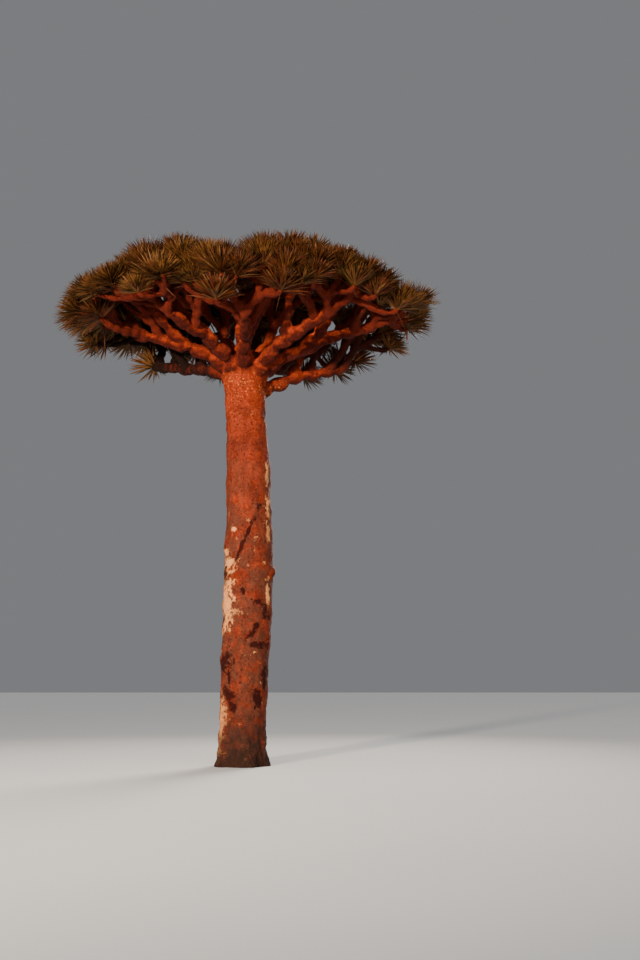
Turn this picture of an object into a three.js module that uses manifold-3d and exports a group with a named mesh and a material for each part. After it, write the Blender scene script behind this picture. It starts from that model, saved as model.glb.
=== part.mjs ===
// A dragon blood tree, rooted in level ground, as a scene graph of named solids.
// A bowed trunk carries a whorl of boughs. They spread like the ribs of an umbrella and end in masses of
// foliage: one stem that forks into twigs, each with a rosette of sword-shaped leaves.
// Millimetres and degrees, +Z up. The origin is the middle of the flat cut at ground level.
// Azimuth 0 is +X, the tree's right, and azimuth 270 is -Y, its front.

import * as THREE from "three";
import { mergeVertices } from "three/addons/utils/BufferGeometryUtils.js";
import Module from "manifold-3d";

// The room left between two pieces that touch, and how near two corners lie that are one
const GAP = 0.35;
const SAME_CORNER = 0.001;
const SEED = 7341;
const SEED_STEP = 97;
const SEED_SKIP = 3;

// Trunk: radius at each height, from the flat cut to the domed head that the boughs leave
const TRUNK_PROFILE = [
  [0, 352], [110, 322], [330, 300], [800, 298], [1450, 306], [2050, 319], [2650, 314],
  [3300, 294], [3900, 280], [4430, 266], [4800, 270], [5010, 286], [5150, 300], [5290, 275], [5390, 180],
];
const TRUNK_CROWN = 5430;
const TRUNK_SIDES = 16;
const TRUNK_BOW = 75;
const TRUNK_BOW_HEIGHT = 4800;
const TRUNK_BOW_SKEW = 1.3;
const ROOT_LOBES = 5;
const ROOT_LOBE_DEPTH = 0.09;
const ROOT_LOBE_HEIGHT = 260;

// Crown: the domed surface on which every rosette sits. It is narrower from front to rear, and dips there.
const CROWN_TOP = 6330;
const CROWN_RIM = 5790;
const CROWN_REACH = 2140;
const CROWN_ROUNDNESS = 3;
const CROWN_SHOULDER = 0.75;
const CROWN_DEPTH = 0.9;
const CROWN_DIP = 80;

// Swells and hollows of the crown: where the middle of each one lies, how wide it is and how far it rises
const CROWN_SWELLS = [
  { x: -900, y: -900, width: 460, rise: 115 },
  { x: 560, y: -900, width: 430, rise: 85 },
  { x: 1800, y: -620, width: 320, rise: -170 },
  { x: -1700, y: 1050, width: 500, rise: 220 },
  { x: -700, y: 1800, width: 550, rise: 240 },
];

// Lower boughs: direction, how far out and how high each one ends, and how high it leaves the trunk
const LOWER_BOUGHS = [
  { side: "right", azimuth: -6, reach: 1640, tip: 5700, root: 5130, radius: 98 },
  { side: "right_rear", azimuth: 34, reach: 1500, tip: 5350, root: 4890, radius: 96 },
  { side: "rear_right", azimuth: 72, reach: 1540, tip: 5500, root: 5090, radius: 94 },
  { side: "rear_left", azimuth: 108, reach: 1560, tip: 5520, root: 5130, radius: 96 },
  { side: "left_rear", azimuth: 143, reach: 1500, tip: 5420, root: 5050, radius: 98 },
  { side: "left", azimuth: 186, reach: 1600, tip: 5670, root: 5200, radius: 102 },
  { side: "left_front", azimuth: 236, reach: 1540, tip: 5600, root: 5180, radius: 98 },
  { side: "front", azimuth: 273, reach: 1500, tip: 5500, root: 5150, radius: 92 },
  { side: "right_front", azimuth: 314, reach: 1540, tip: 5630, root: 5150, radius: 104 },
];
const BOUGH_INSET = 95;
const BOUGH_ROOT_SLOPE = 42;
const BOUGH_TIP_SLOPE = 14;
const BOUGH_LEAVE = 0.3;
const BOUGH_ARRIVE = 0.34;
const BOUGH_TAPER = 0.66;
const BOUGH_SIDES = 7;
const BOUGH_STEPS = 6;

// Risers: one on the back of each lower bough, up to the middle of the crown
const RISER_START = 0.5;
const RISER_SWING = 13;
const RISER_REACH = 1230;
const RISER_DROP = 430;
const RISER_ROOT_SLOPE = 58;
const RISER_TIP_SLOPE = 62;
const RISER_RADIUS = 66;
const RISER_TAPER = 0.82;
const RISER_SIDES = 6;
const RISER_STEPS = 3;

// Upper boughs: they rise out of the trunk's head to fill the crown's middle
const UPPER_BOUGHS = [
  { side: "front", azimuth: 262, reach: 330, tip: 5700 },
  { side: "right", azimuth: 22, reach: 380, tip: 5720 },
  { side: "left", azimuth: 146, reach: 360, tip: 5690 },
];
const UPPER_ROOT = 5120;
const UPPER_INSET = 85;
const UPPER_ROOT_SLOPE = 66;
const UPPER_TIP_SLOPE = 76;
const UPPER_RADIUS = 90;
const UPPER_TAPER = 0.74;
const UPPER_SIDES = 7;
const UPPER_STEPS = 4;
const RISING_BEND = 0.35;

// A limb's rounded tip: width and push of its last two rings, in shares of the limb's thickness
const TIP_SHOULDER_WIDTH = 0.72;
const TIP_SHOULDER_PUSH = 0.6;
const TIP_PUSH = 0.9;

// Masses: where their middles lie on the crown, and how their twigs spread there
const RIM_REACH = 1940;
const RIM_SWING = 10;
const RIM_SPREAD = 195;
const MIDDLE_REACH = 1330;
const MIDDLE_SPREAD = 235;
const UPPER_OUTER_REACH = 860;
const UPPER_OUTER_SWING = 43;
const UPPER_INNER_REACH = 300;
const UPPER_SPREAD = 205;
const HEAD_SCATTER = 45;
const HEAD_TURN = 30;

// Twigs: one stem for each mass forks into a three-sided twig for each rosette
const STEM_SHARE = 0.42;
const STEM_LEAVE = 0.45;
const STEM_ARRIVE = 0.18;
const STEM_RADIUS = 54;
const STEM_TAPER = 0.86;
const STEM_SIDES = 5;
const STEM_STEPS = 2;
const TWIG_LEAVE = 0.3;
const TWIG_ARRIVE = 0.35;
const TWIG_RADIUS = 42;
const TWIG_STEPS = 2;

// Leaves: each blade stands for a spray, and grows out of one face of a rosette's twenty-sided head
const HEAD_RADIUS = 58;
const HEAD_FLATNESS = 0.7947;
const LEAF_LENGTHS = [450, 330, 230];
const LEAF_LENGTH_SPREAD = 0.12;
const LEAF_WIDTH = 96;
const LEAF_THICKNESS = 16;
const LEAF_SHOULDER = 0.34;
const LEAF_LIFT = 0.33;
const LOWEST_LEAF_RISE = -0.5;
const LEAF_CLEARANCE = 6;
const LEAF_SPACING = 42;
const LEAF_TEST_SHARES = [0.06, 0.2, 0.34, 0.56, 0.78, 1];

// Straight chords of a limb's curve against which leaves are tested
const BOUGH_CHORDS = 8;
const TWIG_CHORDS = 3;

const BARK = new THREE.MeshStandardMaterial({ color: 0xa8512c, roughness: 0.85, metalness: 0 });
const FOLIAGE = new THREE.MeshStandardMaterial({ color: 0x5a4a1e, roughness: 0.6, metalness: 0 });

const wasm = await Module();
wasm.setup();

const UP = new THREE.Vector3(0, 0, 1);
const RIGHT = new THREE.Vector3(1, 0, 0);
const NEARLY_UPRIGHT = 0.9;
const radians = THREE.MathUtils.degToRad;

// A point of the crown at an azimuth and a distance from the tree's axis
function crownPoint(azimuth, distance, height) {
  const angle = radians(azimuth);
  return new THREE.Vector3(distance * Math.cos(angle), CROWN_DEPTH * distance * Math.sin(angle), height);
}

// A unit vector at an azimuth, sloping up from the level
function heading(azimuth, slope) {
  const level = crownPoint(azimuth, 1, 0).setLength(Math.cos(radians(slope)));
  return level.setZ(Math.sin(radians(slope)));
}

// A seeded row of numbers from 0 to 1
function randomRow(seed) {
  let state = seed >>> 0;
  return () => {
    state = (Math.imul(state, 1664525) + 1013904223) >>> 0;
    return state / 4294967296;
  };
}

// A unit vector square to a direction
function squareTo(direction) {
  const other = Math.abs(direction.z) < NEARLY_UPRIGHT ? UP : RIGHT;
  return new THREE.Vector3().crossVectors(other, direction).normalize();
}

function bowAt(height) {
  const share = Math.min(height / TRUNK_BOW_HEIGHT, 1) ** TRUNK_BOW_SKEW;
  return TRUNK_BOW * Math.sin(Math.PI * share);
}

// The distance of a point from the tree's axis, as a share of the crown's reach in that direction
function reachShare(point) {
  return Math.hypot(point.x, point.y / CROWN_DEPTH) / CROWN_REACH;
}

// The height of the rosettes over a point
function crownHeight(point) {
  const share = Math.min(reachShare(point), 1);
  const dome = (1 - share ** CROWN_ROUNDNESS) ** CROWN_SHOULDER;
  const dip = CROWN_DIP * share ** 2 * Math.cos(2 * Math.atan2(point.y, point.x));
  const even = CROWN_RIM + (CROWN_TOP - CROWN_RIM) * dome + dip;
  return CROWN_SWELLS.reduce((height, { x, y, width, rise }) => (
    height + rise * Math.exp(-((point.x - x) ** 2 + (point.y - y) ** 2) / width ** 2)
  ), even);
}

// A closed geometry as a solid that can be joined and cut
function solidOf(geometry) {
  const bare = new THREE.BufferGeometry();
  const corners = geometry.getAttribute("position");
  bare.setAttribute("position", corners);
  bare.setIndex(geometry.index ?? [...Array(corners.count).keys()]);
  const merged = mergeVertices(bare, SAME_CORNER);
  return new wasm.Manifold(new wasm.Mesh({
    numProp: 3,
    vertProperties: merged.getAttribute("position").array,
    triVerts: new Uint32Array(merged.index.array),
  }));
}

function geometryOf(solid) {
  const mesh = solid.getMesh();
  const geometry = new THREE.BufferGeometry();
  geometry.setAttribute("position", new THREE.BufferAttribute(mesh.vertProperties, mesh.numProp));
  geometry.setIndex(new THREE.BufferAttribute(mesh.triVerts, 1));
  return geometry;
}

// The largest body of a solid, without loose scraps
function largestBody(solid) {
  return solid.decompose().reduce((best, body) => (body.volume() > best.volume() ? body : best));
}

function limbThickness(limb, share) {
  return limb.radius * (1 - (1 - limb.taper) * share);
}

// A tapering limb along a curve. Its foot is flat, and its tip is round or pointed.
function limbGeometry(limb, grow = 0) {
  const { curve, sides, steps } = limb;
  const rings = [{ share: 0, width: 0, push: 0 }];
  for (let step = 0; step <= steps; step++) rings.push({ share: step / steps, width: 1, push: 0 });
  if (limb.round) rings.push({ share: 1, width: TIP_SHOULDER_WIDTH, push: TIP_SHOULDER_PUSH });
  rings.push({ share: 1, width: 0, push: TIP_PUSH });
  const profile = rings.map((ring, index) => new THREE.Vector2(ring.width, index));
  const geometry = new THREE.LatheGeometry(profile, sides);
  const place = geometry.getAttribute("position");
  const guide = squareTo(curve.getTangent(0.5));
  const wider = grow / Math.cos(Math.PI / sides);
  for (let i = 0; i < place.count; i++) {
    const ring = rings[Math.round(place.getY(i))];
    const tangent = curve.getTangent(ring.share);
    const across = new THREE.Vector3().crossVectors(tangent, guide).normalize();
    const along = new THREE.Vector3().crossVectors(tangent, across);
    const thickness = limbThickness(limb, ring.share) + wider;
    const point = curve.getPoint(ring.share)
      .addScaledVector(tangent, ring.push * thickness)
      .addScaledVector(along, place.getX(i) * thickness)
      .addScaledVector(across, place.getZ(i) * thickness);
    place.setXYZ(i, point.x, point.y, point.z);
  }
  return geometry;
}

// The trunk: a lathed profile with lobes at its foot, bowed to one side
function trunkGeometry(grow = 0) {
  const profile = [new THREE.Vector2(0, 0)];
  for (const [height, radius] of TRUNK_PROFILE) profile.push(new THREE.Vector2(radius + grow, height));
  profile.push(new THREE.Vector2(0, TRUNK_CROWN + grow));
  const geometry = new THREE.LatheGeometry(profile, TRUNK_SIDES);
  const place = geometry.getAttribute("position");
  for (let i = 0; i < place.count; i++) {
    const height = place.getY(i);
    const angle = Math.atan2(place.getZ(i), place.getX(i));
    const fade = Math.exp(-height / ROOT_LOBE_HEIGHT);
    const swell = 1 + ROOT_LOBE_DEPTH * fade * Math.cos(ROOT_LOBES * angle);
    place.setXYZ(i, place.getZ(i) * swell + bowAt(height), place.getX(i) * swell, height);
  }
  return geometry;
}

function bendBetween(start, leave, end, arrive) {
  return new THREE.CubicBezierCurve3(start, start.clone().add(leave), end.clone().sub(arrive), end);
}

// The limb of a lower bough, low and nearly level, with a rising tip
function lowerBough({ side, azimuth, reach, tip, root, radius }) {
  const curve = bendBetween(
    crownPoint(azimuth, BOUGH_INSET, root - BOUGH_INSET),
    heading(azimuth, BOUGH_ROOT_SLOPE).multiplyScalar(BOUGH_LEAVE * reach),
    crownPoint(azimuth, reach, tip),
    heading(azimuth, BOUGH_TIP_SLOPE).multiplyScalar(BOUGH_ARRIVE * reach),
  );
  return {
    name: "bough_" + side, curve, radius, taper: BOUGH_TAPER,
    sides: BOUGH_SIDES, steps: BOUGH_STEPS, round: true,
  };
}

// A curve that rises between two points and leaves and arrives at the given slopes
function risingCurve(start, end, azimuth, rootSlope, tipSlope) {
  const bend = RISING_BEND * start.distanceTo(end);
  return bendBetween(
    start, heading(azimuth, rootSlope).multiplyScalar(bend),
    end, heading(azimuth, tipSlope).multiplyScalar(bend),
  );
}

// The limb that rises from the back of a lower bough
function riser(bough, azimuth, side) {
  const start = bough.curve.getPoint(RISER_START);
  const end = crownPoint(azimuth, RISER_REACH, 0);
  end.z = crownHeight(end) - RISER_DROP;
  const curve = risingCurve(start, end, azimuth, RISER_ROOT_SLOPE, RISER_TIP_SLOPE);
  return {
    name: "riser_" + side, curve, radius: RISER_RADIUS, taper: RISER_TAPER,
    sides: RISER_SIDES, steps: RISER_STEPS, round: true,
  };
}

function upperBough({ side, azimuth, reach, tip }) {
  const start = crownPoint(azimuth, UPPER_INSET, UPPER_ROOT);
  const end = crownPoint(azimuth, reach, tip);
  const curve = risingCurve(start, end, azimuth, UPPER_ROOT_SLOPE, UPPER_TIP_SLOPE);
  return {
    name: "upper_bough_" + side, curve, radius: UPPER_RADIUS, taper: UPPER_TAPER,
    sides: UPPER_SIDES, steps: UPPER_STEPS, round: true,
  };
}

// The twig from a mass's fork to one rosette, whose axis leans out more towards the crown's rim
function twigTo(fork, place, turn) {
  const axis = new THREE.Vector3(place.x, place.y, 0).setLength(reachShare(place) ** 2).add(UP).normalize();
  const neck = place.clone().addScaledVector(axis, -HEAD_FLATNESS * HEAD_RADIUS);
  const length = fork.distanceTo(neck);
  const curve = bendBetween(
    fork, neck.clone().sub(fork).setLength(TWIG_LEAVE * length),
    neck, axis.clone().multiplyScalar(TWIG_ARRIVE * length),
  );
  return { curve, radius: TWIG_RADIUS, taper: 1, place, axis, turn };
}

// The plan of one mass: its stem, and the twigs that carry its rosettes
function massPlan({ name, limb, azimuth, reach, spread, heads, seed }) {
  const random = randomRow(seed);
  for (let i = 0; i < SEED_SKIP; i++) random();
  const start = limb.curve.getPoint(1);
  const middle = crownPoint(azimuth, reach, 0);
  middle.z = crownHeight(middle);
  const fork = start.clone().lerp(middle, STEM_SHARE);
  const length = start.distanceTo(fork);
  const stem = {
    curve: bendBetween(
      start, limb.curve.getTangent(1).multiplyScalar(STEM_LEAVE * length),
      fork, middle.clone().sub(start).setLength(STEM_ARRIVE * length),
    ),
    radius: STEM_RADIUS, taper: STEM_TAPER, sides: STEM_SIDES, steps: STEM_STEPS, round: false,
  };
  const turn = 360 * random();
  const twigs = [];
  for (let i = 0; i < heads; i++) {
    const around = turn + (i * 360) / heads + HEAD_TURN * (random() - 0.5);
    const place = crownPoint(azimuth, reach, 0).add(crownPoint(around, spread, 0));
    place.divideScalar(Math.max(reachShare(place), 1));
    place.z = crownHeight(place) + HEAD_SCATTER * (2 * random() - 1);
    twigs.push(twigTo(fork, place, 2 * Math.PI * random()));
  }
  return { name, stem, twigs, random };
}

// The distance from a point to a limb's surface, measured against a few chords of its curve
function clearanceTo(limb, point) {
  const nearest = new THREE.Vector3();
  const gaps = limb.chords.map((chord, index) => {
    const share = chord.closestPointToPointParameter(point, true);
    const thickness = limbThickness(limb, (index + share) / limb.chords.length);
    return chord.at(share, nearest).distanceTo(point) - thickness;
  });
  return Math.min(...gaps);
}

function addChords(limb, count) {
  const points = limb.curve.getPoints(count);
  limb.chords = points.slice(1).map((end, i) => new THREE.Line3(points[i], end));
}

// The faces of a rosette's twenty-sided head, one of which is square to the rosette's axis at either end
function headFaces(twig, grow = 0) {
  const turn = new THREE.Quaternion().setFromAxisAngle(twig.axis, twig.turn);
  const tip = new THREE.Quaternion().setFromUnitVectors(new THREE.Vector3(1, 1, 1).normalize(), twig.axis);
  const corners = new THREE.IcosahedronGeometry(HEAD_RADIUS + grow / HEAD_FLATNESS)
    .applyQuaternion(turn.multiply(tip))
    .translate(twig.place.x, twig.place.y, twig.place.z)
    .getAttribute("position");
  const faces = [];
  for (let i = 0; i < corners.count; i += 3) {
    const corner = [0, 1, 2].map((j) => new THREE.Vector3().fromBufferAttribute(corners, i + j));
    const root = corner[0].clone().add(corner[1]).add(corner[2]).divideScalar(3);
    const out = root.clone().sub(twig.place).normalize();
    faces.push({ corner, root, out, rise: out.dot(twig.axis) });
  }
  return faces;
}

// Turns a head's face into a leaf that may grow there, with its broad side running round the rosette's axis
function leafOn({ corner, root, out, rise }, axis, random) {
  const around = new THREE.Vector3().crossVectors(axis, out).normalize();
  const edges = corner.map((point, j) => corner[(j + 1) % 3].clone().sub(point));
  const level = edges.map((edge) => Math.abs(edge.dot(around)));
  const first = level.indexOf(Math.max(...level));
  const direction = out.clone().addScaledVector(axis, LEAF_LIFT).normalize();
  return {
    corner: [0, 1, 2].map((j) => corner[(first + j) % 3]),
    root, rise, direction,
    side: edges[first].projectOnPlane(direction).normalize(),
    vary: 1 + LEAF_LENGTH_SPREAD * (random() - 0.5),
  };
}

// A leaf as triangles: from the three corners of its face to a flat shoulder and on to its point
function leafTriangles({ corner, root, direction, side, length }) {
  const face = new THREE.Vector3().crossVectors(direction, side);
  const shoulder = root.clone().addScaledVector(direction, LEAF_SHOULDER * length);
  const ring = [
    shoulder.clone().addScaledVector(side, -LEAF_WIDTH / 2),
    shoulder.clone().addScaledVector(side, LEAF_WIDTH / 2),
    shoulder.clone().addScaledVector(face, LEAF_THICKNESS),
  ];
  const point = root.clone().addScaledVector(direction, length);
  return [0, 1, 2].flatMap((j) => {
    const next = (j + 1) % 3;
    return [
      corner[j], corner[next], ring[next],
      corner[j], ring[next], ring[j],
      ring[j], ring[next], point,
    ];
  });
}

// The twig under a rosette's head, drawn down as a three-sided limb from the head's lowest face
function twigTriangles(twig, face, grow) {
  const rings = [face.corner];
  const thickness = TWIG_RADIUS + grow / Math.cos(Math.PI / 3);
  for (let step = 1; step <= TWIG_STEPS; step++) {
    const share = 1 - step / TWIG_STEPS;
    const tangent = twig.curve.getTangent(share);
    rings.push(face.corner.map((corner) => {
      const offset = corner.clone().sub(face.root).projectOnPlane(tangent).setLength(thickness);
      return twig.curve.getPoint(share).add(offset);
    }));
  }
  const points = [...rings[TWIG_STEPS]];
  for (let step = 0; step < TWIG_STEPS; step++) {
    const [upper, lower] = [rings[step], rings[step + 1]];
    for (let j = 0; j < 3; j++) {
      const next = (j + 1) % 3;
      points.push(upper[j], upper[next], lower[next], upper[j], lower[next], lower[j]);
    }
  }
  return points;
}

// A shoot: the twig, its head, and a leaf in place of every face on which one grows
function shootGeometry(twig, faces, grow = 0) {
  const lowest = faces.reduce((best, face) => (face.rise < best.rise ? face : best));
  const points = faces.flatMap((face) => {
    if (face === lowest) return twigTriangles(twig, face, grow);
    return face.length ? leafTriangles(face) : face.corner;
  });
  return new THREE.BufferGeometry().setFromPoints(points);
}

// Points down the middle and both edges of a leaf
function leafPoints(leaf, length) {
  return LEAF_TEST_SHARES.flatMap((share) => {
    const middle = leaf.root.clone().addScaledVector(leaf.direction, length * share);
    const half = (LEAF_WIDTH / 2) * Math.min(1, (1 - share) / (1 - LEAF_SHOULDER));
    return [-half, 0, half].map((offset) => middle.clone().addScaledVector(leaf.side, offset));
  });
}

// True where a point lies in its own mass's space, which is all that is nearest to that mass's heads
function inOwnSpace(point, ownHeads, otherHeads) {
  const distanceTo = (head) => point.distanceTo(head.place);
  const own = ownHeads.reduce((best, head) => (distanceTo(head) < distanceTo(best) ? head : best));
  return otherHeads.every((head) => {
    const apart = own.place.distanceTo(head.place);
    return (distanceTo(head) ** 2 - distanceTo(own) ** 2) / (2 * apart) > LEAF_CLEARANCE;
  });
}

// True where a leaf stays in its mass's space, off the limbs round it and off the leaves already grown
function leafFits(leaf, length, mass, otherHeads, limbs, grown) {
  const nearest = new THREE.Vector3();
  return leafPoints(leaf, length).every((point) => (
    inOwnSpace(point, mass.twigs, otherHeads)
    && limbs.every((limb) => clearanceTo(limb, point) > LEAF_CLEARANCE)
    && grown.every((line) => line.closestPointToPoint(point, true, nearest).distanceTo(point) > LEAF_SPACING)
  ));
}

// The plan of the whole tree
const lowerLimbs = LOWER_BOUGHS.map(lowerBough);
const upperLimbs = UPPER_BOUGHS.map(upperBough);
const riserAzimuths = LOWER_BOUGHS.map(({ azimuth }, i) => azimuth + (i % 2 ? RISER_SWING : -RISER_SWING));
const riserLimbs = LOWER_BOUGHS.map(({ side }, i) => riser(lowerLimbs[i], riserAzimuths[i], side));
const boughs = [...lowerLimbs, ...upperLimbs, ...riserLimbs];

const masses = [];
function planMass(name, limb, azimuth, reach, spread, heads) {
  const seed = SEED + SEED_STEP * masses.length;
  masses.push(massPlan({ name, limb, azimuth, reach, spread, heads, seed }));
}
LOWER_BOUGHS.forEach(({ side, azimuth }, i) => {
  const limb = lowerLimbs[i];
  planMass("rim_" + side + "_a", limb, azimuth - RIM_SWING, RIM_REACH, RIM_SPREAD, 2);
  planMass("rim_" + side + "_b", limb, azimuth + RIM_SWING, RIM_REACH, RIM_SPREAD, 2);
  planMass("middle_" + side, riserLimbs[i], riserAzimuths[i], MIDDLE_REACH, MIDDLE_SPREAD, 3);
});
UPPER_BOUGHS.forEach(({ side, azimuth }, i) => {
  const limb = upperLimbs[i];
  planMass("top_" + side + "_a", limb, azimuth - UPPER_OUTER_SWING, UPPER_OUTER_REACH, UPPER_SPREAD, 2);
  planMass("top_" + side + "_b", limb, azimuth + UPPER_OUTER_SWING, UPPER_OUTER_REACH, UPPER_SPREAD, 2);
  planMass("top_" + side + "_c", limb, azimuth, UPPER_INNER_REACH, UPPER_SPREAD, 2);
});

const massLimbs = masses.flatMap((mass) => [mass.stem, ...mass.twigs]);
boughs.forEach((limb) => addChords(limb, BOUGH_CHORDS));
massLimbs.forEach((limb) => addChords(limb, TWIG_CHORDS));

// The shoots of a mass, with a leaf of the longest length that fits on each upper face of their heads
function shootsOf(mass) {
  const otherHeads = masses.filter((other) => other !== mass).flatMap((other) => other.twigs);
  const grown = [];
  return mass.twigs.map((twig) => {
    const limbs = [...boughs, ...massLimbs].filter((limb) => (
      limb !== twig && clearanceTo(limb, twig.place) < LEAF_LENGTHS[0] + LEAF_WIDTH
    ));
    const faces = headFaces(twig).map((face) => leafOn(face, twig.axis, mass.random));
    const leaves = faces.filter((face) => face.rise > LOWEST_LEAF_RISE);
    for (const leaf of leaves) {
      const lengths = LEAF_LENGTHS.map((length) => length * leaf.vary);
      leaf.length = lengths.find((length) => leafFits(leaf, length, mass, otherHeads, limbs, grown));
    }
    for (const { root, direction, length } of leaves.filter((leaf) => leaf.length)) {
      grown.push(new THREE.Line3(root, root.clone().addScaledVector(direction, length)));
    }
    return shootGeometry(twig, faces);
  });
}

// The whole tree as solids. Each limb is cut clear of every limb that was made before it.
const tree = new THREE.Group();
const cutters = [];
function addNode(name, solid, material) {
  const clear = cutters.reduce((left, cutter) => left.subtract(cutter), solid);
  const mesh = new THREE.Mesh(geometryOf(largestBody(clear)), material);
  mesh.name = name;
  tree.add(mesh);
}

addNode("trunk", solidOf(trunkGeometry()), BARK);
cutters.push(solidOf(trunkGeometry(GAP)));
for (const limb of boughs) {
  addNode(limb.name, solidOf(limbGeometry(limb)), BARK);
  cutters.push(solidOf(limbGeometry(limb, GAP)));
}
for (const mass of masses) {
  const pieces = [limbGeometry(mass.stem), ...shootsOf(mass)];
  addNode(mass.name, wasm.Manifold.union(pieces.map(solidOf)), FOLIAGE);
  cutters.push(solidOf(limbGeometry(mass.stem, GAP)));
  mass.twigs.forEach((twig) => cutters.push(solidOf(shootGeometry(twig, headFaces(twig, GAP), GAP))));
}

export default tree;
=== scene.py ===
# A dragon blood tree: bark with relief on a trunk and boughs that spread like the ribs of an umbrella,
# knobbly forking twigs, and a domed crown of rosettes of stiff sword-shaped leaves.
# Metres and degrees, +Z up. The origin is the middle of the flat cut at ground level.
# Azimuth 0 is +X, the tree's right, and azimuth 270 is -Y, its front.

import math

import bpy
import numpy as np
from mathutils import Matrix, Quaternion, Vector, noise


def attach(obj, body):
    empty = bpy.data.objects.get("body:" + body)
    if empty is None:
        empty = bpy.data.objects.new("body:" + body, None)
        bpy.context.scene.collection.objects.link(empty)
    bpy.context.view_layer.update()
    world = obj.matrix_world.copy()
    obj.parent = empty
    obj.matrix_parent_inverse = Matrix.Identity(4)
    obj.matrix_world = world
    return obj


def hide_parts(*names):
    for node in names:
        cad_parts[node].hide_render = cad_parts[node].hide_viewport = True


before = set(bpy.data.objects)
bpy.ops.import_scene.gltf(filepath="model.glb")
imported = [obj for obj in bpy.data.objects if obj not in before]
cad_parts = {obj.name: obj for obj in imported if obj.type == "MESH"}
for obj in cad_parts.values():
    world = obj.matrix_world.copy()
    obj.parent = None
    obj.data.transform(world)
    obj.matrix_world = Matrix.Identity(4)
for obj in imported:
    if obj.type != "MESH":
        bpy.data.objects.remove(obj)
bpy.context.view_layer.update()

UP = Vector((0, 0, 1))
SEED = 7341
SEED_STEP = 97
SEED_SKIP = 3

# Trunk: radius at each height, bowed to one side, with lobes at its foot
TRUNK_PROFILE = (
    (0, 0.352), (0.11, 0.322), (0.33, 0.3), (0.8, 0.298), (1.45, 0.306),
    (2.05, 0.319), (2.65, 0.314), (3.3, 0.294), (3.9, 0.28), (4.43, 0.266),
    (4.8, 0.27), (5.01, 0.286), (5.15, 0.3), (5.29, 0.275), (5.39, 0.18),
)
TRUNK_CROWN = 5.43
TRUNK_CROWN_RADIUS = 0.06
TRUNK_BOW = 0.075
TRUNK_BOW_HEIGHT = 4.8
TRUNK_BOW_SKEW = 1.3
ROOT_LOBES = 5
ROOT_LOBE_DEPTH = 0.09
ROOT_LOBE_HEIGHT = 0.26

# Bulges of the trunk: azimuth, height, width, rise
TRUNK_BULGES = (
    (-8, 2.46, 0.1, 0.04), (-20, 1.95, 0.09, 0.02), (200, 2.78, 0.12, 0.022), (195, 1.32, 0.14, 0.024),
    (-62, 1.6, 0.12, 0.02), (222, 0.86, 0.12, 0.02), (20, 3.9, 0.2, 0.014), (170, 3.6, 0.2, 0.012),
    (60, 1.1, 0.13, 0.024), (110, 2.9, 0.14, 0.02), (95, 0.6, 0.12, 0.02), (75, 4.1, 0.14, 0.016),
)

# Creases round the trunk: height, width, depth
TRUNK_CREASES = (
    (2.36, 0.03, 0.014),
    (2.62, 0.03, 0.008),
    (1.42, 0.03, 0.008),
    (3.42, 0.04, 0.007),
    (4.5, 0.04, 0.006),
)
CREASE_TILT = 0.05
CREASE_TURN = 9

# Crown: the domed surface on which every rosette sits
CROWN_TOP = 6.33
CROWN_RIM = 5.79
CROWN_REACH = 2.14
CROWN_ROUNDNESS = 3
CROWN_SHOULDER = 0.75
CROWN_DEPTH = 0.9
CROWN_DIP = 0.08

# Swells and hollows of the crown: x and y of the middle, width and rise
CROWN_SWELLS = (
    (-0.9, -0.9, 0.46, 0.115),
    (0.56, -0.9, 0.43, 0.085),
    (1.8, -0.62, 0.32, -0.17),
    (-1.7, 1.05, 0.5, 0.22),
    (-0.7, 1.8, 0.55, 0.24),
)

# Lower boughs: side, azimuth, reach, height of tip and root, radius
LOWER_BOUGHS = (
    ("right", -6, 1.64, 5.7, 5.13, 0.098),
    ("right_rear", 34, 1.5, 5.35, 4.89, 0.096),
    ("rear_right", 72, 1.54, 5.5, 5.09, 0.094),
    ("rear_left", 108, 1.56, 5.52, 5.13, 0.096),
    ("left_rear", 143, 1.5, 5.42, 5.05, 0.098),
    ("left", 186, 1.6, 5.67, 5.2, 0.102),
    ("left_front", 236, 1.54, 5.6, 5.18, 0.098),
    ("front", 273, 1.5, 5.5, 5.15, 0.092),
    ("right_front", 314, 1.54, 5.63, 5.15, 0.104),
)
BOUGH_INSET = 0.095
BOUGH_ROOT_SLOPE = 42
BOUGH_TIP_SLOPE = 14
BOUGH_LEAVE = 0.3
BOUGH_ARRIVE = 0.34
BOUGH_TAPER = 0.66

# Risers: one on the back of each lower bough
RISER_START = 0.5
RISER_SWING = 13
RISER_REACH = 1.23
RISER_DROP = 0.43
RISER_ROOT_SLOPE = 58
RISER_TIP_SLOPE = 62
RISER_RADIUS = 0.066
RISER_TAPER = 0.82

# Upper boughs: side, azimuth, reach, height of tip
UPPER_BOUGHS = (
    ("front", 262, 0.33, 5.7),
    ("right", 22, 0.38, 5.72),
    ("left", 146, 0.36, 5.69),
)
UPPER_ROOT = 5.12
UPPER_INSET = 0.085
UPPER_ROOT_SLOPE = 66
UPPER_TIP_SLOPE = 76
UPPER_RADIUS = 0.09
UPPER_TAPER = 0.74
RISING_BEND = 0.35

# Masses of foliage, and the stem and twigs of each
RIM_REACH = 1.94
RIM_SWING = 10
RIM_SPREAD = 0.195
MIDDLE_REACH = 1.33
MIDDLE_SPREAD = 0.235
UPPER_OUTER_REACH = 0.86
UPPER_OUTER_SWING = 43
UPPER_INNER_REACH = 0.3
UPPER_SPREAD = 0.205
HEAD_SCATTER = 0.045
HEAD_TURN = 30
HEAD_NECK = 0.046
STEM_SHARE = 0.42
STEM_LEAVE = 0.45
STEM_ARRIVE = 0.18
STEM_RADIUS = 0.054
STEM_TAPER = 0.86
TWIG_LEAVE = 0.3
TWIG_ARRIVE = 0.35
TWIG_RADIUS = 0.042
TWIG_TAPER = 0.86

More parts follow.
